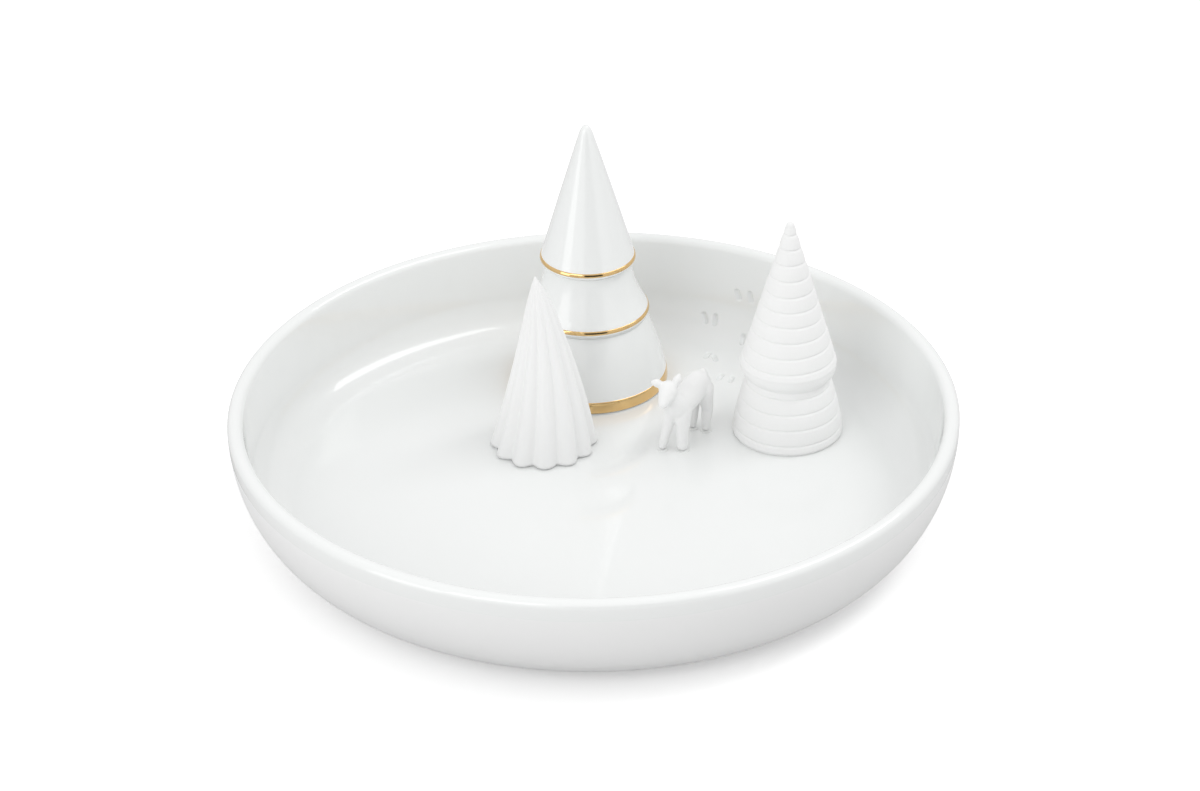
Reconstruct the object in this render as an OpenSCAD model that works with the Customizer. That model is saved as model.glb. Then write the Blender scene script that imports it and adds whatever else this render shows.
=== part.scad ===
// Round porcelain ring dish with three cone trees and a fawn standing on its floor.
// Millimetres, +Z up. The origin is the centre of the foot ring, on the table.
// Rings slip over the trees, and small things lie on the open floor.

/* [Dish] */
// Widest diameter of the dish
dish_d = 160; // [132:1:220]
// Height of the lip above the table
dish_h = 27; // [22:0.5:40]
// Thickness of the wall at its lip
wall_t = 3.4; // [2.8:0.1:4.4]
// Thickness of the floor
floor_t = 3.8; // [2.8:0.1:5]
// Lean of the inner wall from upright, in degrees
wall_lean = 6.5; // [3:0.5:9]
// Radius of the round corner between floor and wall
corner_r = 9; // [6:0.5:11]
// How far the outside draws in from the widest circle to the underside
belly_in = 16.8; // [12:0.2:19]

/* [Foot ring] */
// Height of the foot ring
foot_h = 1.5; // [1:0.1:3]
// Width of the foot ring
foot_w = 3.6; // [2.5:0.1:6]
// Step from the end of the belly in to the foot ring
foot_inset = 7.2; // [2:0.2:12]

/* [Tall tree] */
// Radius of the foot
tall_r = 18.1; // [15:0.1:22]
// Height of the lower tier
tall_low_h = 17.6; // [14:0.2:22]
// Radius of the neck above the lower tier
tall_low_neck = 13.1; // [11:0.1:13.2]
// Radius of the middle tier's lip
tall_mid_r = 13.95; // [13.9:0.05:14.9]
// Height of the middle tier
tall_mid_h = 13.3; // [11:0.1:17]
// Radius of the neck above the middle tier
tall_mid_neck = 9.55; // [8.6:0.05:10]
// Radius of the upper tier's lip
tall_top_r = 10.95; // [10.8:0.05:12]
// Height of the upper tier
tall_top_h = 34.1; // [28:0.1:42]
// Thickness of the cast wall of all three trees
shell_t = 2.5; // [2:0.1:3]
// Direction of the tall tree from the dish's centre, in degrees
tall_dir = 91; // [60:1:120]
// Gap between its foot and the dish's round corner
tall_gap = 0.2; // [0.1:0.1:6]

/* [Gold lines] */
// Height of the two upper gold lines
line_h = 0.9; // [0.6:0.1:1.6]
// Height of the wide gold band round the foot
band_h = 2.7; // [1.5:0.1:4]
// How far the fired gold stands out
gold_t = 0.12; // [0.05:0.01:0.2]

/* [Pleated tree] */
// Mean radius of the foot
pleated_r = 11.5; // [9:0.1:14]
// Height of the tree
pleated_h = 42.7; // [35:0.1:52]
// Number of pleats round the cone
pleats = 12; // [8:1:16]
// Depth of a pleat at the foot
pleat_depth = 1.8; // [0.8:0.1:2.2]
// Sideways drift of the tip
pleated_drift = 1.1; // [0:0.1:3]
// Direction of the pleated tree from the tall tree, in degrees
pleated_dir = -109.4; // [-130:0.2:-90]
// Gap between the feet of the two trees
pleated_gap = 1.1; // [0.5:0.1:8]

/* [Grooved tree] */
// Radius of the foot
grooved_r = 12.5; // [10:0.1:15]
// Height of the lower tier
grooved_low_h = 14.4; // [12:0.2:18]
// Radius of the neck between the tiers
grooved_neck = 9.3; // [8:0.1:9.8]
// Radius of the upper tier's lip
grooved_lip_r = 10.9; // [10.4:0.1:12]
// Height of the upper tier
grooved_top_h = 38.6; // [32:0.2:46]
// Number of grooves round the lower tier
low_grooves = 4; // [2:1:5]
// Number of grooves round the upper tier
top_grooves = 10; // [6:1:12]
// Depth of a groove
groove_d = 0.28; // [0.1:0.02:0.4]
// Width of a groove
groove_w = 0.6; // [0.4:0.05:1]
// Direction of the grooved tree from the dish's centre, in degrees
grooved_dir = 27.9; // [0:0.5:50]
// Gap between its foot and the dish's round corner
grooved_gap = 4.1; // [0.5:0.1:8]

/* [Fawn] */
// Height of the back above the hooves
fawn_h = 15.4; // [13:0.1:18]
// Heading of the fawn, in degrees from +X
fawn_heading = -122; // [-150:1:-90]
// Direction of the fawn from the grooved tree, in degrees
fawn_dir = -169.3; // [-180:0.5:-150]
// Gap between the grooved tree's foot and the middle of the fawn
fawn_gap = 10.9; // [10:0.1:16]

/* [Hoof prints] */
// Length of one toe's print
print_l = 3.2; // [2:0.1:4]
// Radius of a toe's rounded section
print_r = 0.62; // [0.5:0.02:0.8]
// Depth of a print in the surface
print_d = 0.35; // [0.2:0.01:0.5]

/* [Glue] */
// Thickness of the clear glue film under each figure
glue_t = 0.15; // [0.1:0.01:0.3]

/* [Hidden] */
$fn = 96;

floor_z = foot_h + floor_t;
wide_z = dish_h - wall_t / 2;
wide_r = dish_d / 2;
wall_r = wide_r - wall_t;
belly_r = wide_r - belly_in;
foot_r = belly_r - foot_inset;
corner_z = floor_z + corner_r;
floor_r = wall_r - (wide_z - corner_z) * tan(wall_lean) - corner_r / cos(wall_lean);
corner_s = corner_r * (90 - wall_lean) * PI / 180;

tree_z = floor_z + glue_t;
tall_foot = tall_r - 0.3;
tall_neck_z = tall_low_h;
tall_mid_z = tall_low_h + tall_mid_h;
tall_h = tall_mid_z + tall_top_h;
lip_drop = 0.8;
band_z = 0.3;
tall_at = polar(floor_r - tall_foot - tall_gap, tall_dir);
pleated_at = tall_at + polar(tall_r + pleated_r + pleat_depth / 2 + pleated_gap, pleated_dir);
grooved_at = polar(floor_r - grooved_r - grooved_gap, grooved_dir);
fawn_at = grooved_at + polar(grooved_r + fawn_gap, fawn_dir);

// Each toe: distance along the inside from where the corner starts, direction, heading
toes = [[-10.8, 57.9, 24], [-10.3, 55.1, 12], [-3.1, 64.9, 20], [-3.6, 63.0, 0],
    [5.2, 60.3, 18], [6.0, 58.2, 10], [8.4, 68.8, -25], [8.4, 66.8, 3],
    [15.6, 62.9, -10], [15.8, 60.5, 0]];

function polar(r, a) = [r * cos(a), r * sin(a)];
function arc(c, r, a0, a1, n) = [for (i = [0:n]) c + polar(r, a0 + (a1 - a0) * i / n)];
function oval(c, rx, rz, a0, a1, n) =
    [for (i = [0:n]) let (a = a0 + (a1 - a0) * i / n) c + [rx * cos(a), rz * sin(a)]];
// A cone's side from p0 to p1 that swells outwards by belly at its middle
function side(p0, p1, belly, n) =
    [for (i = [0:n]) let (t = i / n) p0 + (p1 - p0) * t + [4 * belly * t * (1 - t), 0]];

// Dish: belly, half-round lip, leaning wall, round corner, floor and foot ring
function dish_outline() = concat(
    [[0, foot_h], [foot_r - foot_w, foot_h]],
    arc([foot_r - foot_w + 0.6, 0.6], 0.6, 180, 270, 4),
    arc([foot_r - 0.6, 0.6], 0.6, 270, 360, 4),
    [[foot_r, foot_h]],
    oval([belly_r, wide_z], belly_in, wide_z - foot_h, -90, 0, 18),
    arc([wide_r - wall_t / 2, wide_z], wall_t / 2, 12, 168, 12),
    arc([floor_r, corner_z], corner_r, -wall_lean, -90, 12),
    [[0, floor_z]]);

// Height and slope of the inside, a distance s along it from the start of the corner
function inside_at(s) = s < 0 ? [floor_r + s, floor_z, 0]
    : s < corner_s ? let (a = s / corner_r * 180 / PI)
        [floor_r + corner_r * sin(a), corner_z - corner_r * cos(a), a]
    : let (a = 90 - wall_lean, d = s - corner_s)
        [floor_r + corner_r * sin(a) + d * cos(a), corner_z - corner_r * cos(a) + d * sin(a), a];

module toe_print(s, direction, heading) {
    place = inside_at(s);
    core = print_l - 2 * print_r;
    rotate([0, 0, direction])
        translate([place[0], 0, place[1]])
            rotate([0, -place[2], 0])
                translate([0, 0, print_r - print_d])
                    rotate([0, 0, 90 - direction - heading]) {
                        translate([-core / 2, 0, 0]) rotate([0, 90, 0]) cylinder(r = print_r, h = core);
                        translate([-core / 2, 0, 0]) sphere(r = print_r);
                        translate([core / 2, 0, 0]) sphere(r = print_r);
                    }
}

module dish() {
    color("white")
        difference() {
            rotate_extrude() polygon(dish_outline());
            for (toe = toes) toe_print(toe[0], toe[1], toe[2]);
        }
}

// Tall tree: three stacked cones, each with a rounded lip over the neck below it
function lip(r, neck, z) = concat(
    [[neck, z]],
    arc([r - 0.5, z + lip_drop], 0.5, -90, 0, 4) - [for (i = [0:4]) [0, lip_drop - 0.5]],
    [[r, z + lip_drop + line_h]]);

function tall_outline() = concat(
    [[0, 0], [tall_foot, 0], [tall_r, band_z], [tall_foot, band_z + band_h]],
    side([tall_foot, band_z + band_h], [tall_low_neck, tall_neck_z], 0.34, 8),
    lip(tall_mid_r, tall_low_neck, tall_neck_z),
    side([tall_mid_r, tall_neck_z + lip_drop + line_h], [tall_mid_neck, tall_mid_z], -0.6, 8),
    lip(tall_top_r, tall_mid_neck, tall_mid_z),
    side([tall_top_r, tall_mid_z + lip_drop + line_h], [1.72, tall_h - 2.5], 0.06, 4),
    [[1.4, tall_h - 1.6], [0.95, tall_h - 0.7], [0.45, tall_h - 0.15], [0, tall_h]]);

function tall_hollow() = [[0, -1], [tall_foot - shell_t, -1], [tall_foot - shell_t, 0],
    [tall_low_neck - shell_t, tall_neck_z], [tall_mid_neck - shell_t, tall_mid_z],
    [0, tall_h - 3.2 * shell_t]];

module tall_tree() {
    color("white")
        translate([tall_at[0], tall_at[1], tree_z])
            difference() {
                rotate_extrude() polygon(tall_outline());
                rotate_extrude() polygon(tall_hollow());
            }
}

// A gold line is a thin fired ring on the upright face of a tier's lip
module gold_line(r, z) {
    color("goldenrod")
        translate([tall_at[0], tall_at[1], tree_z + z])
            rotate_extrude() translate([r, 0]) square([gold_t, line_h]);
}

module gold_line_upper() {
    gold_line(tall_top_r, tall_mid_z + lip_drop);
}

module gold_line_middle() {
    gold_line(tall_mid_r, tall_neck_z + lip_drop);
}

module gold_line_base() {
    color("goldenrod")
        translate([tall_at[0], tall_at[1], tree_z + band_z])
            rotate_extrude()
                polygon([[tall_r, 0], [tall_r + gold_t, 0], [tall_foot + gold_t, band_h],
                    [tall_foot, band_h]]);
}

// Pleated tree: rounded folds with sharp valleys that fade towards the tip
pleat_steps = 8;
pleat_rows = 14;
function fold(a) = sqrt(pow(cos(a * pleats / 2), 2) + 0.03) - 0.66;
function pleat_ring(t) =
    let (mean = (pleated_r - 0.9) * (1 - t) + 0.9 + 1.2 * t * (1 - t) - 0.9 * pow(t, 12),
        depth = pleat_depth * (1 - t) + 0.05)
    [for (i = [0:pleats * pleat_steps - 1]) let (a = i * 360 / (pleats * pleat_steps),
        r = max(mean + depth * fold(a), 0.25))
        [r * cos(a) + 4 * t * (1 - t) - pleated_drift * t, r * sin(a), pleated_h * t]];

// Closed skin over a stack of rings of n points each
module skin(rings) {
    n = len(rings[0]);
    rows = len(rings);
    points = [for (ring = rings) each ring];
    sides = [for (j = [0:rows - 2], i = [0:n - 1]) let (k = (i + 1) % n)
        [j * n + i, (j + 1) * n + i, (j + 1) * n + k, j * n + k]];
    bottom = [for (i = [0:n - 1]) i];
    top = [for (i = [n - 1:-1:0]) (rows - 1) * n + i];
    polyhedron(points = points, faces = concat(sides, [bottom, top]), convexity = 6);
}

module pleated_tree() {
    color("white")
        translate([pleated_at[0], pleated_at[1], tree_z])
            rotate([0, 0, 1.8])
                skin([for (j = [0:pleat_rows]) pleat_ring(pow(j / pleat_rows, 0.9))]);
}

// Grooved tree: two tiers cut by evenly spaced grooves, with a slight crown between them
function grooved_side(p0, p1, belly, n) =
    [for (i = [0:n]) let (pitch = 1 / (n + 0.9), t = (i + 0.45) * pitch,
            w = groove_w / (p1[1] - p0[1]) / 2)
        for (step = i < n ? [[-w, 0], [0, -groove_d], [w, 0], [pitch / 2, 0.1]]
                : [[-w, 0], [0, -groove_d], [w, 0]])
            let (u = t + step[0])
            p0 + (p1 - p0) * u + [4 * belly * u * (1 - u) + step[1], 0]];

function grooved_outline() = concat(
    [[0, 0], [grooved_r - 0.4, 0], [grooved_r, 0.5]],
    grooved_side([grooved_r, 0.5], [grooved_neck, grooved_low_h], 0.4, low_grooves - 1),
    [[grooved_neck, grooved_low_h]],
    oval([grooved_neck, grooved_low_h + 3], grooved_lip_r - grooved_neck, 2.4, -80, 10, 6),
    grooved_side([grooved_lip_r, grooved_low_h + 3.8], [1.1, grooved_low_h + grooved_top_h - 1.4],
        0, top_grooves - 1),
    [[1.1, grooved_low_h + grooved_top_h - 1.4], [0.8, grooved_low_h + grooved_top_h - 0.5],
        [0.4, grooved_low_h + grooved_top_h - 0.1], [0, grooved_low_h + grooved_top_h]]);

function grooved_hollow() = [[0, -1], [grooved_r - 0.4 - shell_t, -1],
    [grooved_r - 0.4 - shell_t, 0], [grooved_neck - shell_t, grooved_low_h],
    [0, grooved_low_h + grooved_top_h - 4.5 * shell_t]];

module grooved_tree() {
    color("white")
        translate([grooved_at[0], grooved_at[1], tree_z])
            difference() {
                rotate_extrude() polygon(grooved_outline());
                rotate_extrude() polygon(grooved_hollow());
            }
}

// Fawn: balls of these radii at [forward, left, up], joined two by two
function up(h) = h * fawn_h / 15.4;
rump = [[-5.2, 0, up(12.2)], 3.1];
waist = [[-1, 0, up(11.3)], 3.3];
chest = [[3.8, 0, up(11.2)], 3.4];
neck = [[5.6, -0.4, up(13.9)], 2.2];
poll = [[6.7, -0.7, up(16.2)], 2.0];
muzzle = [[9.4, -0.3, up(14.4)], 1.1];
ears = [[[6.3, 0.4, up(17.2)], [4.7, 0.9, up(19.6)]], [[6.9, -1.8, up(17)], [8.2, -3.8, up(18)]]];
legs = [[[3.9, 1.4, up(9.5)], [4.1, 1.4, 0], 1.25], [[4.4, -1.4, up(9.5)], [6.2, -2.6, 0], 0.85],
    [[-5.2, 1.5, up(10)], [-5.8, 1.7, 0], 1.0], [[-4.8, -1.5, up(10)], [-5.4, -1.6, 0], 1.0]];
tail = [[-7.6, 0, up(14)], [-8.4, 0, up(11.8)]];

module ball(place, r) {
    translate(place) sphere(r = r, $fn = 20);
}

module limb(a, b) {
    hull() {
        ball(a[0], a[1]);
        ball(b[0], b[1]);
    }
}

module leg(l) {
    knee = (l[0] + l[1]) / 2 + [0.2, 0, 0];
    limb([l[0], 1.9], [knee, 1.05]);
    hull() {
        ball(knee, 1.05);
        translate(l[1]) cylinder(r = l[2], h = 1.6, $fn = 20);
    }
}

module fawn() {
    color("white")
        translate([fawn_at[0], fawn_at[1], tree_z])
            rotate([0, 0, fawn_heading]) {
                limb(rump, waist);
                limb(waist, chest);
                limb(chest, neck);
                limb(neck, poll);
                limb(poll, muzzle);
                for (l = legs) leg(l);
                for (e = ears) hull() {
                    ball(e[0], 0.8);
                    ball((e[0] + e[1]) / 2, 0.85);
                    ball(e[1], 0.35);
                }
                limb([tail[0], 0.8], [tail[1], 0.45]);
            }
}

// Clear glue: a thin film on the floor under each foot
module glue_ring(at, r, bore) {
    color("lightcyan")
        translate([at[0], at[1], floor_z])
            difference() {
                cylinder(r = r, h = glue_t);
                translate([0, 0, -1]) cylinder(r = bore, h = glue_t + 2);
            }
}

module tall_tree_glue() {
    glue_ring(tall_at, tall_foot, tall_foot - shell_t);
}

module pleated_tree_glue() {
    glue_ring(pleated_at, pleated_r - 1.4, pleated_r - 1.4 - shell_t);
}

module grooved_tree_glue() {
    glue_ring(grooved_at, grooved_r - 0.4, grooved_r - 0.4 - shell_t);
}

module fawn_glue() {
    color("lightcyan")
        translate([fawn_at[0], fawn_at[1], floor_z])
            rotate([0, 0, fawn_heading])
                for (l = legs) translate([l[1][0], l[1][1], 0]) cylinder(r = l[2] + 0.3, h = glue_t);
}

dish();
tall_tree();
gold_line_upper();
gold_line_middle();
gold_line_base();
pleated_tree();
grooved_tree();
fawn();
tall_tree_glue();
pleated_tree_glue();
grooved_tree_glue();
fawn_glue();
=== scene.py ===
import math

import bmesh
import bpy
import numpy as np
from mathutils import Matrix, Vector


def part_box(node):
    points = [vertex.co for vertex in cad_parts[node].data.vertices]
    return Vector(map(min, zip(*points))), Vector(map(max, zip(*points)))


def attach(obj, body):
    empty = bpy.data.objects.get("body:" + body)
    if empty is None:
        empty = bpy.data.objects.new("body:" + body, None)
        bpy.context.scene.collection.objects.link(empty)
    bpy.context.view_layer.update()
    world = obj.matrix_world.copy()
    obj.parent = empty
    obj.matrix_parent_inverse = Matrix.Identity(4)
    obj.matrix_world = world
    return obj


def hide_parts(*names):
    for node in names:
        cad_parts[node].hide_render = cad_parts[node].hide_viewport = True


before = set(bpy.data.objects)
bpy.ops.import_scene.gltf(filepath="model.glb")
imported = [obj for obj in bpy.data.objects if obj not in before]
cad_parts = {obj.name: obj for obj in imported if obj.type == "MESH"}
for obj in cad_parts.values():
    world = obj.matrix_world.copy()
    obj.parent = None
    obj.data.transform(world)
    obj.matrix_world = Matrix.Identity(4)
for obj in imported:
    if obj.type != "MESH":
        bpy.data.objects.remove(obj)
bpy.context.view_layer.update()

# Dish
# The cast porcelain dish: a full belly on a foot ring, a round lip, and a floor with hoof prints
# pressed into it before firing. It is glazed inside and left satin outside, and it carries the rest.
mm = 0.001
dish_low, dish_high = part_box("dish")
dish_r = (dish_high[0] - dish_low[0]) / 2 / mm
lip_z = dish_high[2] / mm
wall_t = 3.4
floor_t = 3.8
foot_h = 1.5
foot_w = 3.6
foot_inset = 7.2
foot_round = 0.6
foot_fillet = 0.5
under_clear = 1.0
belly_in = 16.8
wall_lean = math.radians(6.5)
corner_r = 9.0
floor_z = foot_h + floor_t
wide_z = lip_z - wall_t / 2
belly_r = dish_r - belly_in
foot_r = belly_r - foot_inset
corner_z = floor_z + corner_r
floor_r = (dish_r - wall_t - (wide_z - corner_z) * math.tan(wall_lean)
           - corner_r / math.cos(wall_lean))
corner_turn = math.pi / 2 - wall_lean

# Each toe print: distance up the inside from the corner's start, direction and heading in degrees
toe_prints = [(-10.8, 57.9, 24), (-10.3, 55.1, 12), (-3.1, 64.9, 20), (-3.6, 63.0, -12),
              (5.2, 60.3, 18), (6.0, 58.2, 10), (8.4, 68.8, -5), (8.4, 66.8, 15),
              (15.6, 62.9, 8), (15.8, 60.5, 15)]
print_l = 3.2
print_w = 1.35
print_d = 0.65
print_edge = 1.3


def arc(cx, cz, rx, rz, start, end, steps):
    """Points along an oval arc, angles in degrees."""
    turn = np.radians(np.linspace(start, end, steps + 1))
    return [(cx + rx * math.cos(a), cz + rz * math.sin(a)) for a in turn]


def turned(name, outline, at=(0.0, 0.0), angles=None, shape=None, looks=None):
    """A closed turned solid: outline runs from axis to axis in mm, shape may move its points."""
    even_steps, weld = 192, 1e-8
    ring = np.linspace(0, 2 * np.pi, even_steps, endpoint=False) if angles is None else angles
    radius, height = np.array(outline, float).T
    points = np.stack([radius[:, None] * np.cos(ring), radius[:, None] * np.sin(ring),
                       np.repeat(height[:, None], len(ring), 1)], 2)
    if shape:
        points = shape(points)
    points[..., 0] += at[0]
    points[..., 1] += at[1]
    rows, cols = points.shape[:2]
    index = np.arange(rows * cols).reshape(rows, cols)
    following = np.roll(index, -1, axis=1)
    faces = np.stack([index[:-1], following[:-1], following[1:], index[1:]], 2).reshape(-1, 4)
    mesh = bpy.data.meshes.new(name)
    mesh.from_pydata((points.reshape(-1, 3) * mm).tolist(), [], faces.tolist())
    if looks is not None:
        mesh.polygons.foreach_set("material_index", np.repeat(looks, cols).astype("int32"))
    skin = bmesh.new()
    skin.from_mesh(mesh)
    bmesh.ops.remove_doubles(skin, verts=skin.verts, dist=weld)
    bmesh.ops.dissolve_degenerate(skin, edges=skin.edges, dist=weld)
    bmesh.ops.recalc_face_normals(skin, faces=skin.faces)
    skin.to_mesh(mesh)
    skin.free()
    mesh.polygons.foreach_set("use_smooth", [True] * len(mesh.polygons))
    piece = bpy.data.objects.new(name, mesh)
    bpy.context.scene.collection.objects.link(piece)
    return piece


def fired(name, colour, roughness, drift, grain, depth, coat=0.0):
    """A fired ceramic finish: drift is how far clouds dim its white, grain and depth are in metres."""
    material = bpy.data.materials.new(name)
    material.use_nodes = True
    nodes, links = material.node_tree.nodes, material.node_tree.links
    surface = nodes["Principled BSDF"]
    surface.inputs["Roughness"].default_value = roughness
    surface.inputs["Coat Weight"].default_value = coat
    surface.inputs["Coat Roughness"].default_value = 0.04
    place = nodes.new("ShaderNodeTexCoord")
    clouds = nodes.new("ShaderNodeTexNoise")
    clouds.inputs["Scale"].default_value = 45.0
    clouds.inputs["Detail"].default_value = 3.0
    tint = nodes.new("ShaderNodeMix")
    tint.data_type = "RGBA"
    tint.inputs["A"].default_value = (*[c * (1 - drift) for c in colour], 1)
    tint.inputs["B"].default_value = (*colour, 1)
    speck = nodes.new("ShaderNodeTexNoise")
    speck.inputs["Scale"].default_value = 1 / grain
    speck.inputs["Detail"].default_value = 4.0
    bump = nodes.new("ShaderNodeBump")
    bump.inputs["Distance"].default_value = depth
    bump.inputs["Strength"].default_value = 1.0
    links.new(place.outputs["Object"], clouds.inputs["Vector"])
    links.new(place.outputs["Object"], speck.inputs["Vector"])
    links.new(clouds.outputs["Fac"], tint.inputs["Factor"])
    links.new(tint.outputs["Result"], surface.inputs["Base Color"])
    links.new(speck.outputs["Fac"], bump.inputs["Height"])
    links.new(bump.outputs["Normal"], surface.inputs["Normal"])
    return material


glaze = fired("clear_glaze_on_porcelain", (0.865, 0.878, 0.872), roughness=0.35, drift=0.012,
              grain=0.006, depth=0.00002, coat=1.0)
satin = fired("satin_outer_porcelain", (0.872, 0.874, 0.872), roughness=0.5, drift=0.012,
              grain=0.0009, depth=0.000012)

outside = ([(0, foot_h), (foot_r - foot_w - under_clear, foot_h)]
           + arc(foot_r - foot_w + foot_round, foot_round, foot_round, foot_round, 180, 270, 6)
           + arc(foot_r - foot_round, foot_round, foot_round, foot_round, 270, 360, 6)
           + arc(foot_r + foot_fillet, foot_h - foot_fillet, foot_fillet, foot_fillet, 180, 90, 4)
           + arc(belly_r, wide_z, belly_in, wide_z - foot_h, -90, 0, 40))
inside = arc(dish_r - wall_t / 2, wide_z, wall_t / 2, wall_t / 2, 6, 174, 24)
# Rows up the inside, in mm from the corner's start: fine where the hoof prints are, coarse elsewhere
track_top, track_bottom = 19.0, -14.0
track_step = 0.17
wall_length = (wide_z - corner_z + corner_r * math.sin(wall_lean)) / math.cos(wall_lean)
inside_top = corner_r * corner_turn + wall_length
inside_s = np.concatenate([np.linspace(inside_top, track_top, 6),
                           np.arange(track_top - track_step, track_bottom, -track_step),
                           np.linspace(track_bottom - 0.5, -floor_r, 26)])
inside_s = inside_s[inside_s < inside_top - 0.05]


def inside_point(s):
    """Radius, height and slope of the inside, s mm along it from the corner's start."""
    if s < 0:
        return floor_r + s, floor_z, 0.0
    turn = min(s / corner_r, corner_turn)
    beyond = max(s - corner_r * corner_turn, 0.0)
    return (floor_r + corner_r * math.sin(turn) + beyond * math.cos(turn),
            corner_z - corner_r * math.cos(turn) + beyond * math.sin(turn), turn)


rows_inside = np.array([inside_point(s) for s in inside_s])
first_inside = len(outside) + len(inside)
# Angles round the dish, in degrees: fine where the hoof prints are, coarse elsewhere
track_from, track_to = 52.0, 72.0
fine_turn, coarse_turn = 0.17, 1.9
dish_angles = np.radians(np.concatenate([np.arange(track_from, track_to, fine_turn),
                                         np.arange(track_to, track_from + 359.9, coarse_turn)]))


def press_toes(points):
    """Presses the toe prints into the rows of the inside."""
    ds, slope = inside_s[:, None], rows_inside[:, 2][:, None]
    reach = rows_inside[:, 0][:, None]
    turn = (dish_angles[None, :] + np.pi) % (2 * np.pi) - np.pi
    sunk = np.zeros((len(inside_s), len(dish_angles)))
    core = (print_l - print_w) / 2
    for s, direction, heading in toe_prints:
        lean = math.radians(90 - direction - heading)
        up, across = ds - s, reach * (turn - math.radians(direction))
        along = up * math.cos(lean) + across * math.sin(lean)
        side = across * math.cos(lean) - up * math.sin(lean)
        away = np.hypot(np.maximum(np.abs(along) - core, 0), side) / (print_w / 2)
        sunk = np.maximum(sunk, print_d * (1 - np.clip(away, 0, 1) ** 2) ** print_edge)
    inner = points[first_inside:]
    inner[..., 0] += sunk * np.sin(slope) * np.cos(dish_angles)
    inner[..., 1] += sunk * np.sin(slope) * np.sin(dish_angles)
    inner[..., 2] -= sunk * np.cos(slope)
    return points


dish_outline = outside + inside + [tuple(row[:2]) for row in rows_inside]
# The glaze, look 0, ends just under the lip
satin_rows = len(outside) - 4
dish_looks = [1 if i < satin_rows else 0 for i in range(len(dish_outline) - 1)]
dish = turned("porcelain_dish", dish_outline, angles=dish_angles, shape=press_toes, looks=dish_looks)
dish.data.materials.append(glaze)
dish.data.materials.append(satin)
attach(dish, "root")
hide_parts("dish")

# Glue films
# Clear glue holds each figure on the glazed floor. The films are thin rings and dots under the feet,
# and are so thin that the white of the glaze comes through. They keep the solids they have.
clear = bpy.data.materials.new("clear_cured_glue")
clear.use_nodes = True
clear_nodes = clear.node_tree.nodes
clear_surface = clear_nodes["Principled BSDF"]
clear_surface.inputs["Base Color"].default_value = (0.88, 0.89, 0.88, 1)
clear_surface.inputs["IOR"].default_value = 1.47
clear_place = clear_nodes.new("ShaderNodeTexCoord")
clear_noise = clear_nodes.new("ShaderNodeTexNoise")
clear_noise.inputs["Scale"].default_value = 900.0
clear_rough = clear_nodes.new("ShaderNodeMapRange")
clear_rough.inputs["To Min"].default_value = 0.08
clear_rough.inputs["To Max"].default_value = 0.25
clear.node_tree.links.new(clear_place.outputs["Object"], clear_noise.inputs["Vector"])
clear.node_tree.links.new(clear_noise.outputs["Fac"], clear_rough.inputs["Value"])
clear.node_tree.links.new(clear_rough.outputs["Result"], clear_surface.inputs["Roughness"])
for film in ("tall_tree_glue", "pleated_tree_glue", "grooved_tree_glue", "fawn_glue"):
    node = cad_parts[film]
    node.data.materials.clear()
    node.data.materials.append(clear)

# Tall tree
# The tall tree is hollow cast porcelain under a clear glaze: three cones, each with a rounded lip
# over the neck below. Finger rings drop over it, and it is glued down by its foot.
tall_low, tall_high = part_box("tall_tree")
tall_at = ((tall_low[0] + tall_high[0]) / 2 / mm, (tall_low[1] + tall_high[1]) / 2 / mm)
tall_z = tall_low[2] / mm
tall_h = (tall_high[2] - tall_low[2]) / mm
tall_r = 18.1
tall_foot = 17.8
neck_low, neck_low_z = 13.1, 17.6
lip_mid = 13.95
neck_mid, neck_mid_z = 9.55, 30.9
lip_top = 10.95
lip_drop = 0.8
lip_round = 0.32
belly_low, belly_mid, belly_top = 0.34, -0.6, 0.06
line_h = 0.9
band_z, band_h = 0.3, 2.7
shell_t = 2.5
# The tip is wiped round: each point's radius, and how far it lies below the top
tip_r, tip_drop = 1.72, 2.5
soft_tip = [(1.46, 1.75), (1.12, 1.0), (0.82, 0.52), (0.5, 0.18), (0.22, 0.03), (0, 0)]


def flank(p, q, belly, steps):
    """The side of a cone from p to q, swelling outwards by belly half way up."""
    return [(p[0] + (q[0] - p[0]) * t + 4 * belly * t * (1 - t), p[1] + (q[1] - p[1]) * t)
            for t in np.linspace(0, 1, steps + 1)]


tall_outline = ([(0, tall_h - 3.2 * shell_t), (neck_mid - shell_t, neck_mid_z),
                 (neck_low - shell_t, neck_low_z), (tall_foot - shell_t, 0.05),
                 (tall_foot - shell_t, 0), (tall_foot - 0.1, 0), (tall_foot, 0.05),
                 (tall_r - 0.02, band_z - 0.02), (tall_r, band_z), (tall_foot, band_z + band_h)]
                + flank((tall_foot, band_z + band_h),
                        (neck_low + 0.1, neck_low_z - 0.4), belly_low, 20)[1:]
                + arc(neck_low + 0.5, neck_low_z + 0.1, 0.5, 0.5, 200, 262, 4)
                + arc(lip_mid - 0.45, neck_low_z + lip_drop, 0.45, 0.6, -80, 0, 8)
                + flank((lip_mid - lip_round, neck_low_z + lip_drop + line_h),
                        (neck_mid, neck_mid_z - 0.3), belly_mid, 20)
                + arc(neck_mid + 0.45, neck_mid_z, 0.45, 0.4, 190, 262, 4)
                + arc(lip_top - 0.45, neck_mid_z + lip_drop, 0.45, 0.6, -80, 0, 8)
                + flank((lip_top - lip_round, neck_mid_z + lip_drop + line_h),
                        (tip_r, tall_h - tip_drop), belly_top, 24)
                + [(r, tall_h - drop) for r, drop in soft_tip])
tall_tree = turned("glazed_tall_tree", [(r, z + tall_z) for r, z in tall_outline], tall_at)
tall_tree.data.materials.append(glaze)
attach(tall_tree, "root")
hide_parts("tall_tree")

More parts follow.
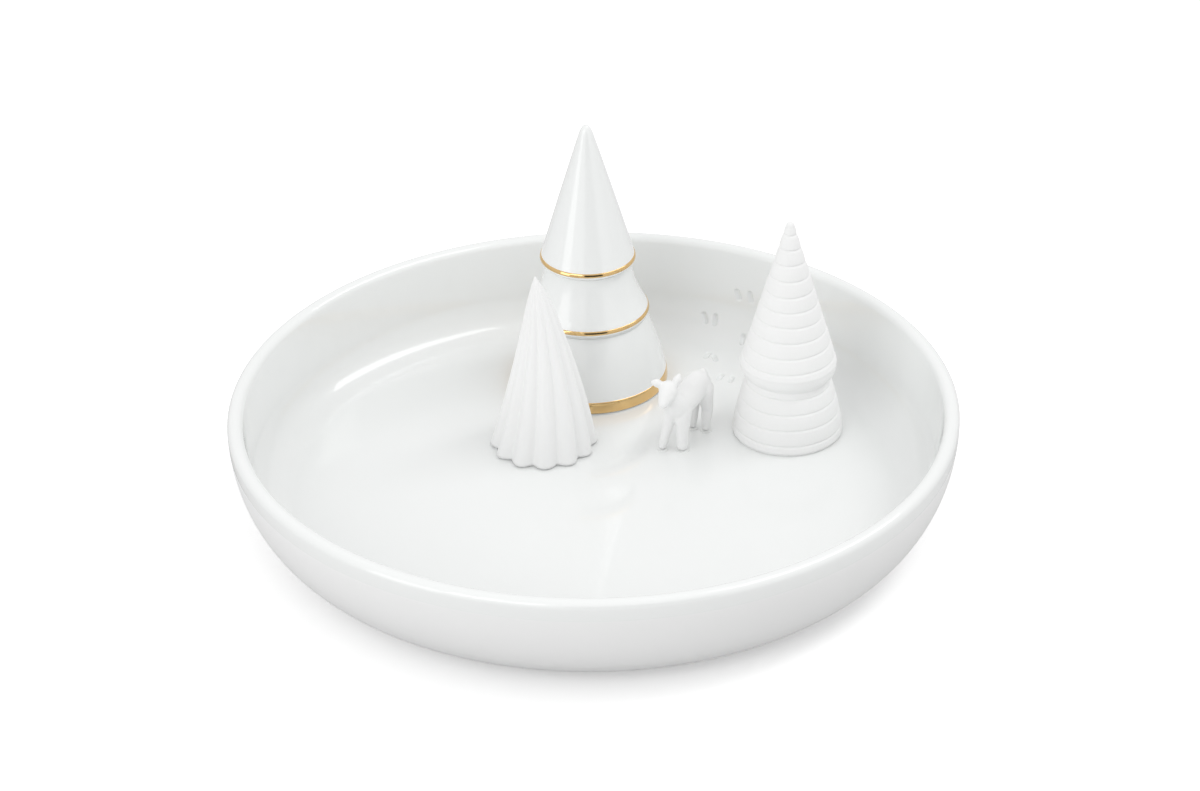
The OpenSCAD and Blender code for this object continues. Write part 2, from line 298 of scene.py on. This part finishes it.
# Gold lines
# Liquid gold is brushed by hand on the lips and the foot and fired at low heat, so each line is a
# bright film, rounded off at its edges, whose colour and gloss change faintly along it.
gold = bpy.data.materials.new("fired_gold_lustre")
gold.use_nodes = True
gold_nodes, gold_links = gold.node_tree.nodes, gold.node_tree.links
gold_surface = gold_nodes["Principled BSDF"]
gold_surface.inputs["Metallic"].default_value = 1.0
gold_place = gold_nodes.new("ShaderNodeTexCoord")
gold_noise = gold_nodes.new("ShaderNodeTexNoise")
gold_noise.inputs["Scale"].default_value = 260.0
gold_noise.inputs["Detail"].default_value = 5.0
gold_tint = gold_nodes.new("ShaderNodeMix")
gold_tint.data_type = "RGBA"
gold_tint.inputs["A"].default_value = (0.72, 0.46, 0.19, 1)
gold_tint.inputs["B"].default_value = (0.86, 0.62, 0.31, 1)
gold_rough = gold_nodes.new("ShaderNodeMapRange")
gold_rough.inputs["To Min"].default_value = 0.05
gold_rough.inputs["To Max"].default_value = 0.16
gold_links.new(gold_place.outputs["Object"], gold_noise.inputs["Vector"])
gold_links.new(gold_noise.outputs["Fac"], gold_tint.inputs["Factor"])
gold_links.new(gold_noise.outputs["Fac"], gold_rough.inputs["Value"])
gold_links.new(gold_tint.outputs["Result"], gold_surface.inputs["Base Color"])
gold_links.new(gold_rough.outputs["Result"], gold_surface.inputs["Roughness"])


def gold_ring(name, node, low_r, high_r, low_z, high_z, swell):
    """A film that follows the porcelain between two heights, rounded off at both edges."""
    sunk = 0.05
    film = []
    for t in np.linspace(0, 1, 9):
        proud = swell * math.sin(math.pi * t) ** 0.5
        film.append((low_r + (high_r - low_r) * t + proud, low_z + (high_z - low_z) * t + tall_z))
    core = [(film[-1][0] - sunk, film[-1][1]), (film[0][0] - sunk, film[0][1])]
    piece = turned(name, film + core + film[:1], tall_at, np.linspace(0, 2 * np.pi, 256, False))
    piece.data.materials.append(gold)
    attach(piece, "root")
    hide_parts(node)
    return piece


line_swell, band_swell = 0.12, 0.11
upper_z, middle_z = neck_mid_z + lip_drop, neck_low_z + lip_drop
gold_ring("gold_on_upper_lip", "gold_line_upper", lip_top, lip_top - lip_round, upper_z,
          upper_z + line_h, line_swell)
gold_ring("gold_on_middle_lip", "gold_line_middle", lip_mid, lip_mid - lip_round, middle_z,
          middle_z + line_h, line_swell)
gold_ring("gold_round_foot", "gold_line_base", tall_r, tall_foot, band_z, band_z + band_h, band_swell)

# Pleated tree
# A bisque cone pressed into twelve rounded folds with sharp valleys. The folds fade out at the tip,
# which drifts a little to the left. It is glued down by its flat foot.
pleated_low, pleated_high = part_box("pleated_tree")
pleated_at = ((pleated_low[0] + pleated_high[0]) / 2 / mm, (pleated_low[1] + pleated_high[1]) / 2 / mm)
pleated_z = pleated_low[2] / mm
pleated_h = (pleated_high[2] - pleated_low[2]) / mm
bisque = fired("unglazed_bisque", (0.885, 0.887, 0.884), roughness=0.8, drift=0.015,
               grain=0.00045, depth=0.00002)

fold_tree = bpy.data.node_groups.new("folded_cone", "GeometryNodeTree")
fold_tree.interface.new_socket("Geometry", in_out="OUTPUT", socket_type="NodeSocketGeometry")
fold_sizes = {"Foot radius": 0.0106, "Tip radius": 0.0009, "Height": pleated_h * mm, "Pleats": 12.0,
              "Pleat depth": 0.0018, "Bow": 0.0012, "Drift": 0.0011, "Lean of folds": 0.0314}
for label in fold_sizes:
    fold_tree.interface.new_socket(label, in_out="INPUT", socket_type="NodeSocketFloat")
fold_nodes, fold_links = fold_tree.nodes, fold_tree.links
# The sheet's lowest and highest strips close the foot and the tip, and the rest is the folded side
strip = 0.04
valley_round = 0.02
fold_middle = 0.66
sway_m = 0.004
tip_taper, taper_power = 0.9, 12.0
fold_in = fold_nodes.new("NodeGroupInput")
fold_out = fold_nodes.new("NodeGroupOutput")


def sum_node(nodes, links, operation, *values):
    """One math node fed by sockets or plain numbers, as its output socket."""
    node = nodes.new("ShaderNodeMath")
    node.operation = operation
    for i, value in enumerate(values):
        if isinstance(value, (int, float)):
            node.inputs[i].default_value = value
        else:
            links.new(value, node.inputs[i])
    return node.outputs[0]


def fold_sum(operation, *values):
    """One math node in the folded cone's tree."""
    return sum_node(fold_nodes, fold_links, operation, *values)


sheet = fold_nodes.new("GeometryNodeMeshGrid")
sheet.inputs["Size X"].default_value = 1.0
sheet.inputs["Size Y"].default_value = 1.0
sheet.inputs["Vertices X"].default_value = 385
sheet.inputs["Vertices Y"].default_value = 90
spot = fold_nodes.new("GeometryNodeInputPosition")
split = fold_nodes.new("ShaderNodeSeparateXYZ")
fold_links.new(spot.outputs[0], split.inputs[0])
turn_angle = fold_sum("MULTIPLY", fold_sum("ADD", split.outputs["X"], 0.5), 2 * math.pi)
row_share = fold_sum("ADD", split.outputs["Y"], 0.5)
over_tip = fold_sum("MULTIPLY", fold_sum("SUBTRACT", row_share, strip), 1 / (1 - 2 * strip))
rise = fold_sum("MINIMUM", fold_sum("MAXIMUM", over_tip, 0.0), 1.0)
closing = fold_sum("MINIMUM", fold_sum("MULTIPLY", row_share, 1 / strip), 1.0)
over_side = fold_sum("SUBTRACT", row_share, 1 - strip)
tip_share = fold_sum("MAXIMUM", fold_sum("MULTIPLY", over_side, 1 / strip), 0.0)
rest_up = fold_sum("SUBTRACT", 1.0, rise)
mean = fold_sum("ADD", fold_sum("MULTIPLY", fold_in.outputs["Foot radius"], rest_up),
                fold_in.outputs["Tip radius"])
mean = fold_sum("ADD", mean, fold_sum("MULTIPLY", fold_in.outputs["Bow"],
                                      fold_sum("MULTIPLY", rise, rest_up)))
taper = fold_sum("MULTIPLY", tip_taper, fold_sum("POWER", rise, taper_power))
mean = fold_sum("SUBTRACT", mean, fold_sum("MULTIPLY", fold_in.outputs["Tip radius"], taper))
wave = fold_sum("COSINE", fold_sum("MULTIPLY", turn_angle,
                                   fold_sum("MULTIPLY", fold_in.outputs["Pleats"], 0.5)))
crest = fold_sum("SQRT", fold_sum("ADD", fold_sum("POWER", wave, 2.0), valley_round))
fold = fold_sum("SUBTRACT", crest, fold_middle)
depth = fold_sum("MULTIPLY", fold_in.outputs["Pleat depth"], rest_up)
reach = fold_sum("ADD", mean, fold_sum("MULTIPLY", depth, fold))
reach = fold_sum("MULTIPLY", fold_sum("MULTIPLY", reach, closing), fold_sum("SUBTRACT", 1.0, tip_share))
heading = fold_sum("ADD", turn_angle, fold_in.outputs["Lean of folds"])
sway = fold_sum("SUBTRACT", fold_sum("MULTIPLY", sway_m, fold_sum("MULTIPLY", rise, rest_up)),
                fold_sum("MULTIPLY", fold_in.outputs["Drift"], rise))
place_x = fold_sum("ADD", fold_sum("MULTIPLY", reach, fold_sum("COSINE", heading)), sway)
place_y = fold_sum("MULTIPLY", reach, fold_sum("SINE", heading))
place_z = fold_sum("MULTIPLY", fold_in.outputs["Height"], rise)
joined = fold_nodes.new("ShaderNodeCombineXYZ")
fold_links.new(place_x, joined.inputs["X"])
fold_links.new(place_y, joined.inputs["Y"])
fold_links.new(place_z, joined.inputs["Z"])
moved = fold_nodes.new("GeometryNodeSetPosition")
fold_links.new(sheet.outputs["Mesh"], moved.inputs["Geometry"])
fold_links.new(joined.outputs[0], moved.inputs["Position"])
welded = fold_nodes.new("GeometryNodeMergeByDistance")
welded.inputs["Distance"].default_value = 1e-6
fold_links.new(moved.outputs[0], welded.inputs["Geometry"])
real = fold_nodes.new("GeometryNodeRealizeInstances")
fold_links.new(welded.outputs[0], real.inputs[0])
painted = fold_nodes.new("GeometryNodeSetMaterial")
painted.inputs["Material"].default_value = bisque
fold_links.new(real.outputs[0], painted.inputs["Geometry"])
fold_links.new(painted.outputs[0], fold_out.inputs["Geometry"])


def folded(name, tree, sizes, at):
    """The plain mesh that a node tree makes with these sizes, put in its place in the mesh."""
    blank = bpy.data.objects.new(name + "_blank", bpy.data.meshes.new(name + "_blank"))
    bpy.context.scene.collection.objects.link(blank)
    pressing = blank.modifiers.new("pressing", "NODES")
    pressing.node_group = tree
    for item in tree.interface.items_tree:
        if item.in_out == "INPUT" and item.name in sizes:
            pressing[item.identifier] = sizes[item.name]
    scene_now = bpy.context.evaluated_depsgraph_get()
    mesh = bpy.data.meshes.new_from_object(blank.evaluated_get(scene_now))
    blank.modifiers.remove(pressing)
    bpy.data.objects.remove(blank)
    skin = bmesh.new()
    skin.from_mesh(mesh)
    bmesh.ops.translate(skin, verts=skin.verts, vec=Vector(at))
    bmesh.ops.remove_doubles(skin, verts=skin.verts, dist=1e-7)
    bmesh.ops.dissolve_degenerate(skin, edges=skin.edges, dist=1e-8)
    bmesh.ops.recalc_face_normals(skin, faces=skin.faces)
    skin.to_mesh(mesh)
    skin.free()
    mesh.polygons.foreach_set("use_smooth", [True] * len(mesh.polygons))
    piece = bpy.data.objects.new(name, mesh)
    bpy.context.scene.collection.objects.link(piece)
    return piece


pleated_tree = folded("folded_bisque_tree", fold_tree, fold_sizes,
                      (pleated_at[0] * mm, pleated_at[1] * mm, pleated_z * mm))
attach(pleated_tree, "root")
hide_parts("pleated_tree")

# Grooved tree
# A hollow cast bisque tree in two tiers. Grooves are cut round it at an even pitch while it turns,
# and the rings between them stay slightly crowned and a little uneven.
grooved_low, grooved_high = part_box("grooved_tree")
grooved_at = ((grooved_low[0] + grooved_high[0]) / 2 / mm, (grooved_low[1] + grooved_high[1]) / 2 / mm)
grooved_z = grooved_low[2] / mm
grooved_h = (grooved_high[2] - grooved_low[2]) / mm
grooved_r = (grooved_high[0] - grooved_low[0]) / 2 / mm
grooved_neck, grooved_neck_z = 9.3, 14.4
grooved_lip = 10.9
low_grooves, top_grooves = 4, 10
groove_d, groove_w, crown = 0.24, 0.5, 0.06
groove_start = 0.45
foot_edge = 0.4
side_belly = 0.4
grooved_tip_r, grooved_tip_h = 1.05, 1.4


def grooved_flank(p, q, belly, grooves, steps):
    """A cone's side with that many grooves, in small steps."""
    pitch = 1 / (grooves - 0.1)
    side = []
    for t in np.linspace(0, 1, steps + 1):
        place = t / pitch - groove_start
        near = place - round(place)
        cut = abs(near) * pitch * (q[1] - p[1]) / (groove_w / 2)
        inward = groove_d * math.exp(-cut * cut * 1.2) if -0.5 < place < grooves - 0.5 else 0.0
        swell = crown * math.sin(math.pi * (place % 1)) ** 2
        side.append((p[0] + (q[0] - p[0]) * t + 4 * belly * t * (1 - t) - inward + swell - crown,
                     p[1] + (q[1] - p[1]) * t))
    return side


grooved_outline = ([(0, grooved_h - 11.2), (grooved_neck - shell_t, grooved_neck_z),
                    (grooved_r - foot_edge - shell_t, 0.05), (grooved_r - foot_edge - shell_t, 0)]
                   + arc(grooved_r - 0.5, foot_edge, foot_edge, foot_edge, -90, 0, 5)
                   + grooved_flank((grooved_r, 0.6), (grooved_neck, grooved_neck_z), side_belly,
                                   low_grooves, 90)
                   + arc(grooved_neck, grooved_neck_z + 3, grooved_lip - grooved_neck - 0.1, 2.5,
                         -78, 8, 12)
                   + grooved_flank((grooved_lip, grooved_neck_z + 3.7),
                                   (grooved_tip_r + 0.1, grooved_h - grooved_tip_h), 0, top_grooves, 230)
                   + arc(0, grooved_h - grooved_tip_h, grooved_tip_r, grooved_tip_h, 4, 90, 8))


def hand_turned(points):
    """The rings of a tree that was turned by hand, with a slow waver in height."""
    turn = np.arctan2(points[..., 1], points[..., 0])
    high = points[..., 2] - grooved_z
    inner = np.hypot(points[..., 0], points[..., 1]) < 0.01
    waver = 0.10 * np.sin(turn + high * 0.35) + 0.05 * np.sin(2 * turn - high * 0.5 + 1.3)
    waver *= np.clip(high / 3, 0, 1) * np.clip((grooved_h - high) / 4, 0, 1)
    points[..., 2] += np.where(inner, 0, waver)
    return points


grooved_tree = turned("grooved_bisque_tree", [(r, z + grooved_z) for r, z in grooved_outline],
                      grooved_at, shape=hand_turned)
grooved_tree.data.materials.append(bisque)
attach(grooved_tree, "root")
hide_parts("grooved_tree")

# Fawn
# A small solid bisque fawn, cast in one piece with soft detail: round body, legs apart, head up and
# ears out. Clear glue holds its hooves.
fawn_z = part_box("fawn")[0][2] / mm
fawn_turn = math.radians(-122)
fawn_dir = math.radians(-169.3)
fawn_from_tree = 23.4
fawn_at = (grooved_at[0] + fawn_from_tree * math.cos(fawn_dir),
           grooved_at[1] + fawn_from_tree * math.sin(fawn_dir))
# Chains of balls, each (forward, left, up, radius) in mm
fawn_chains = [
    [(-5.2, 0, 12.2, 2.9), (-3.4, 0, 11.9, 3.0), (-1, 0, 11.3, 3.1), (1.6, 0, 11.2, 3.2),
     (3.8, 0, 11.2, 3.2), (4.8, -0.1, 12.4, 2.7), (5.7, -0.4, 14.2, 2.0), (6.4, -0.6, 15.4, 1.75),
     (6.8, -0.7, 16.1, 2.0)],
    [(6.8, -0.7, 16.2, 2.2), (8.0, -0.5, 15.4, 1.8), (9.2, -0.35, 14.5, 1.3), (9.7, -0.3, 14.2, 1.1)],
    [(3.8, 1.3, 10.2, 2.1), (4.0, 1.4, 7.4, 1.7), (4.1, 1.4, 4.4, 1.45), (4.1, 1.4, 1.8, 1.4),
     (4.2, 1.4, 1.2, 1.35)],
    [(4.2, -1.3, 10.0, 2.0), (4.8, -1.7, 7.2, 1.45), (5.4, -2.1, 4.2, 1.15), (6.0, -2.5, 1.5, 1.0),
     (6.2, -2.6, 0.95, 0.95)],
    [(-5.4, 1.3, 11.2, 2.3), (-5.8, 1.6, 8.4, 1.75), (-6.4, 1.7, 5.6, 1.35), (-5.9, 1.7, 2.4, 1.15),
     (-5.8, 1.7, 1.0, 1.0)],
    [(-5.1, -1.3, 11.2, 2.3), (-5.4, -1.5, 8.4, 1.75), (-6.0, -1.6, 5.6, 1.35),
     (-5.5, -1.6, 2.4, 1.15), (-5.4, -1.6, 1.0, 1.0)],
    [(-7.3, 0, 14.0, 0.9), (-8.0, 0, 13.2, 0.75), (-8.3, 0, 12.1, 0.5)],
]
fawn_ears = [[(6.4, 0.6, 17.3, 0.7), (5.5, 0.85, 18.6, 1.0), (4.7, 0.9, 19.5, 0.4)],
             [(7.0, -2.1, 17.1, 0.7), (7.7, -3.1, 17.7, 1.0), (8.2, -3.9, 18.0, 0.4)]]


def join_balls(skin, first, second):
    """The convex skin round two balls of clay."""
    points = []
    for x, y, z, r in (first, second):
        ball = bmesh.new()
        bmesh.ops.create_icosphere(ball, subdivisions=3, radius=r)
        points += [skin.verts.new((v.co.x + x, v.co.y + y, v.co.z + z)) for v in ball.verts]
        ball.free()
    made = bmesh.ops.convex_hull(skin, input=points)
    loose = [v for v in made["geom_interior"] if isinstance(v, bmesh.types.BMVert)]
    bmesh.ops.delete(skin, geom=loose, context="VERTS")


fawn_mesh = bpy.data.meshes.new("bisque_fawn")
fawn_skin = bmesh.new()
for chain in fawn_chains + fawn_ears:
    for first, second in zip(chain, chain[1:]):
        join_balls(fawn_skin, first, second)
fawn_skin.to_mesh(fawn_mesh)
fawn_skin.free()
fawn_rough = bpy.data.objects.new("fawn_rough", fawn_mesh)
bpy.context.scene.collection.objects.link(fawn_rough)
fawn_remesh = fawn_rough.modifiers.new("clay", "REMESH")
fawn_remesh.mode = "VOXEL"
fawn_remesh.voxel_size = 0.2
fawn_smooth = fawn_rough.modifiers.new("soften", "SMOOTH")
fawn_smooth.factor = 0.5
fawn_smooth.iterations = 6
fawn_depsgraph = bpy.context.evaluated_depsgraph_get()
fawn_mesh = bpy.data.meshes.new_from_object(fawn_rough.evaluated_get(fawn_depsgraph))
bpy.data.objects.remove(fawn_rough)
fawn_points = np.array([v.co for v in fawn_mesh.vertices])
# Pressed dots for the eyes and hollows inside the ears: place, reach and depth in mm
head_at = (6.8, -0.7, 16.2)
for spot_at, spot_r, spot_d in (((7.9, 0.75, 16.0), 0.42, 0.3), ((7.9, -2.0, 16.0), 0.42, 0.3),
                                ((5.9, 1.5, 18.3), 0.6, 0.3), ((8.2, -2.9, 17.4), 0.6, 0.3)):
    gap = np.linalg.norm(fawn_points - np.array(spot_at), axis=1)
    pull = spot_d * np.exp(-(gap / spot_r) ** 2)
    towards = np.array(head_at) - np.array(spot_at)
    towards /= np.linalg.norm(towards)
    fawn_points += pull[:, None] * towards
fawn_points[:, 2] = np.maximum(fawn_points[:, 2], 0)
cos_f, sin_f = math.cos(fawn_turn), math.sin(fawn_turn)
fawn_world = np.stack([fawn_points[:, 0] * cos_f - fawn_points[:, 1] * sin_f + fawn_at[0],
                       fawn_points[:, 0] * sin_f + fawn_points[:, 1] * cos_f + fawn_at[1],
                       fawn_points[:, 2] + fawn_z], 1) * mm
fawn_mesh.vertices.foreach_set("co", fawn_world.ravel())
fawn_mesh.polygons.foreach_set("use_smooth", [True] * len(fawn_mesh.polygons))
fawn_mesh.update()
fawn = bpy.data.objects.new("bisque_fawn", fawn_mesh)
bpy.context.scene.collection.objects.link(fawn)
fawn.data.materials.append(bisque)
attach(fawn, "root")
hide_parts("fawn")

# Studio
# A white sweep under a bright dome, with a long soft light high on the right, a strip low on the left
# and a weak front light, as for a catalogue picture. The sweep keeps the soft shadow under the belly.
sweep_mesh = bpy.data.meshes.new("white_sweep")
sweep_half = 4.0
sweep_mesh.from_pydata([(-sweep_half, -sweep_half, 0), (sweep_half, -sweep_half, 0),
                        (sweep_half, sweep_half, 0), (-sweep_half, sweep_half, 0)], [], [(0, 1, 2, 3)])
sweep = bpy.data.objects.new("white_sweep", sweep_mesh)
bpy.context.scene.collection.objects.link(sweep)
paper = bpy.data.materials.new("white_paper")
paper.use_nodes = True
paper_nodes, paper_links = paper.node_tree.nodes, paper.node_tree.links
paper_surface = paper_nodes["Principled BSDF"]
paper_surface.inputs["Roughness"].default_value = 0.9
paper_glow = paper_nodes.new("ShaderNodeEmission")
paper_path = paper_nodes.new("ShaderNodeLightPath")
paper_sum = paper_nodes.new("ShaderNodeAddShader")
# The camera sees a whiter and lifted paper; the dish is lit by the greyer one
paper_grey, paper_seen, paper_glow_seen = 0.66, 0.86, 0.32
paper_lift = sum_node(paper_nodes, paper_links, "MULTIPLY", paper_path.outputs["Is Camera Ray"],
                      paper_glow_seen)
paper_white = sum_node(paper_nodes, paper_links, "MULTIPLY_ADD", paper_path.outputs["Is Camera Ray"],
                       paper_seen - paper_grey, paper_grey)
paper_links.new(paper_white, paper_surface.inputs["Base Color"])
paper_links.new(paper_lift, paper_glow.inputs["Strength"])
paper_links.new(paper_surface.outputs[0], paper_sum.inputs[0])
paper_links.new(paper_glow.outputs[0], paper_sum.inputs[1])
paper_links.new(paper_sum.outputs[0], paper_nodes["Material Output"].inputs["Surface"])
sweep.data.materials.append(paper)

world = bpy.data.worlds.new("studio")
bpy.context.scene.world = world
world.use_nodes = True
world_nodes, world_links = world.node_tree.nodes, world.node_tree.links
sky = world_nodes["Background"]
sky.inputs["Color"].default_value = (1, 1, 1, 1)
sky_path = world_nodes.new("ShaderNodeLightPath")
sky_seen = sum_node(world_nodes, world_links, "MAXIMUM", sky_path.outputs["Is Camera Ray"],
                    sky_path.outputs["Is Transmission Ray"])
dome_light, dome_seen = 0.85, 1.0
sky_lit = sum_node(world_nodes, world_links, "MULTIPLY_ADD", sky_seen, dome_seen - dome_light,
                   dome_light)
world_links.new(sky_lit, sky.inputs["Strength"])


def soft_light(name, place, target, width, height, power, roll_deg=0.0):
    """A rectangular soft light at place, facing target, in metres, watts and degrees of roll."""
    lamp = bpy.data.lights.new(name, "AREA")
    lamp.shape = "RECTANGLE"
    lamp.size, lamp.size_y = width, height
    lamp.energy = power
    holder = bpy.data.objects.new(name, lamp)
    holder.location = place
    holder.rotation_euler = (Vector(target) - Vector(place)).to_track_quat("-Z", "Y").to_euler()
    holder.rotation_euler.rotate_axis("Z", math.radians(roll_deg))
    bpy.context.scene.collection.objects.link(holder)
    return holder


soft_light("softbox_right", (0.8, 0.10, 1.13), (-0.03, 0.04, 0.01), width=1.05, height=0.36,
           power=4.0, roll_deg=-42)
soft_light("strip_left", (-0.9, -0.62, 0.3), (0, 0.04, 0.04), width=0.45, height=0.6, power=1.3)
wash = soft_light("wash_front", (-0.55, -0.95, 0.75), (0, 0.03, 0), width=0.6, height=0.5, power=2.0)
wash.data.specular_factor = 0.0
# A black card behind the camera, seen only in reflections, gives the gold its dark streaks
card_mesh = bpy.data.meshes.new("black_card")
card_left, card_right, card_y, card_low, card_high = -0.2, 0.9, -1.3, 0.02, 0.75
card_mesh.from_pydata([(card_left, card_y, card_low), (card_right, card_y, card_low),
                       (card_right, card_y, card_high), (card_left, card_y, card_high)],
                      [], [(0, 1, 2, 3)])
card = bpy.data.objects.new("black_card", card_mesh)
bpy.context.scene.collection.objects.link(card)
black = bpy.data.materials.new("black_felt")
black.use_nodes = True
black.node_tree.nodes["Principled BSDF"].inputs["Base Color"].default_value = (0.02, 0.02, 0.02, 1)
card.data.materials.append(black)
card.visible_camera = card.visible_diffuse = card.visible_shadow = False

# Camera
# A 114 mm lens 0.84 m from the dish, 30.5 degrees down and turned by 0.8 degrees, as worked out
# from the dish's circles in the picture.
pitch = math.radians(30.508)
roll = math.radians(-0.8087)
ahead = Vector((0, math.cos(pitch), -math.sin(pitch)))
side_on = Vector((1, 0, 0))
upward = Vector((0, math.sin(pitch), math.cos(pitch)))
right_hand = side_on * math.cos(roll) + upward * math.sin(roll)
top_hand = upward * math.cos(roll) - side_on * math.sin(roll)
lens = bpy.data.cameras.new("camera")
lens.lens = 114.0
lens.sensor_width = 36.0
lens.clip_start = 0.05
camera_at = (0.0015, -0.71598, 0.4503)
camera = bpy.data.objects.new("camera", lens)
turned_by = Matrix((right_hand, top_hand, -ahead)).transposed().to_4x4()
camera.matrix_world = Matrix.Translation(camera_at) @ turned_by
bpy.context.scene.collection.objects.link(camera)
bpy.context.scene.camera = camera
bpy.context.scene.view_settings.view_transform = "Standard"
